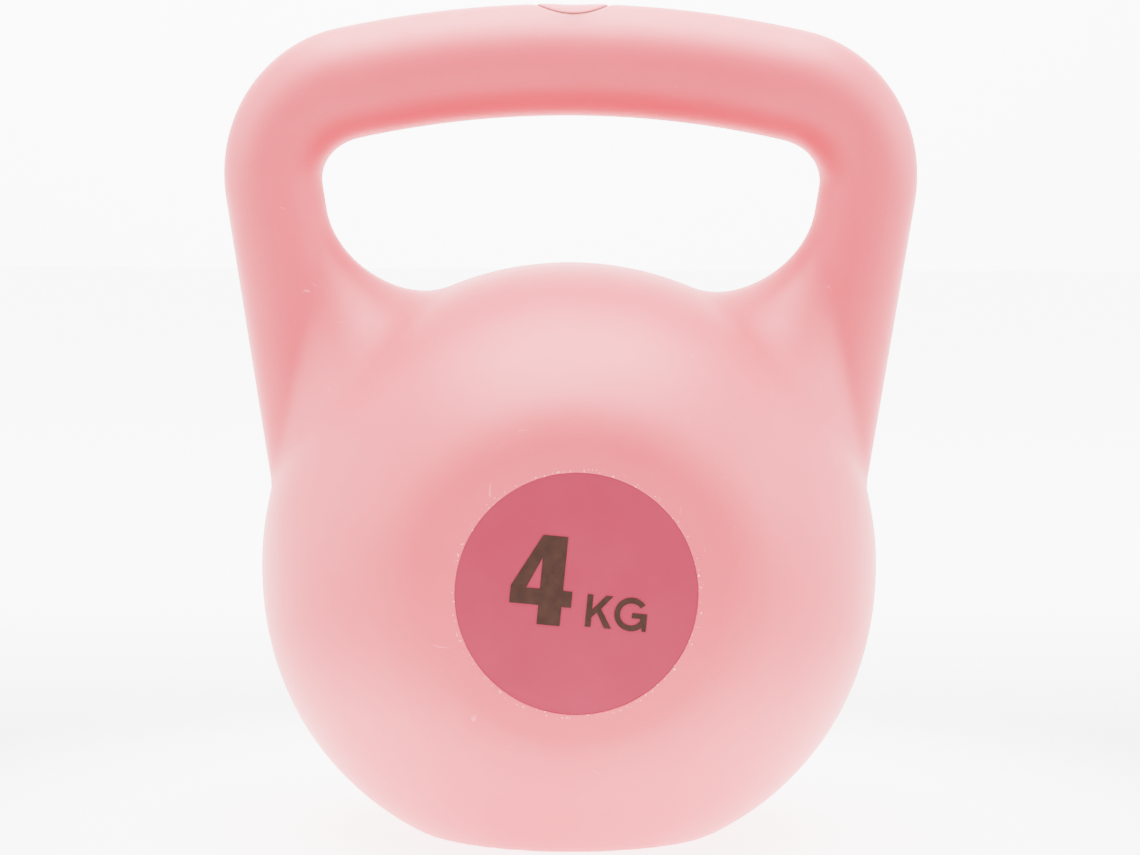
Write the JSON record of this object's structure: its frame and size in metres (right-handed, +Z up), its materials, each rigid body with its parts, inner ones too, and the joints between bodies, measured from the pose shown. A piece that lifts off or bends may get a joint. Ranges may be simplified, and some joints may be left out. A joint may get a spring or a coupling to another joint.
{
  "type": "kettlebell",
  "caption": "Round exercise weight with a wide closed handle above it, flat front and back faces and a flat resting face; soft-matt moulded plastic over a cast ballast core.",
  "frame": {"origin": "centre of the flat resting face, on the bell's upright axis", "axes": "+Z up through the handle's crown, +X along the handle to the right as seen from the label, -Y out of the label"},
  "size_m": [0.1702, 0.12, 0.2036],
  "materials": {
    "shell": "soft matt pale pink polyethylene, fine moulded texture",
    "fill": "cast cement and iron sand, rough grey",
    "rod": "plain drawn steel bar, dull",
    "plug": "matt pink plastic, a shade deeper than the shell",
    "adhesive": "pale pressure-sensitive adhesive film",
    "label": "deep pink vinyl film, satin",
    "ink": "dark brown screen-print ink, matt"
  },
  "bodies": {
    "root": {"shell": "shell", "ballast_fill": "fill", "reinforcing_rod": "rod", "fill_plug": "plug", "label_adhesive": "adhesive", "label_disc": "label", "figure_4": "ink", "letter_k": "ink", "letter_g": "ink"}
  },
  "joints": []
}
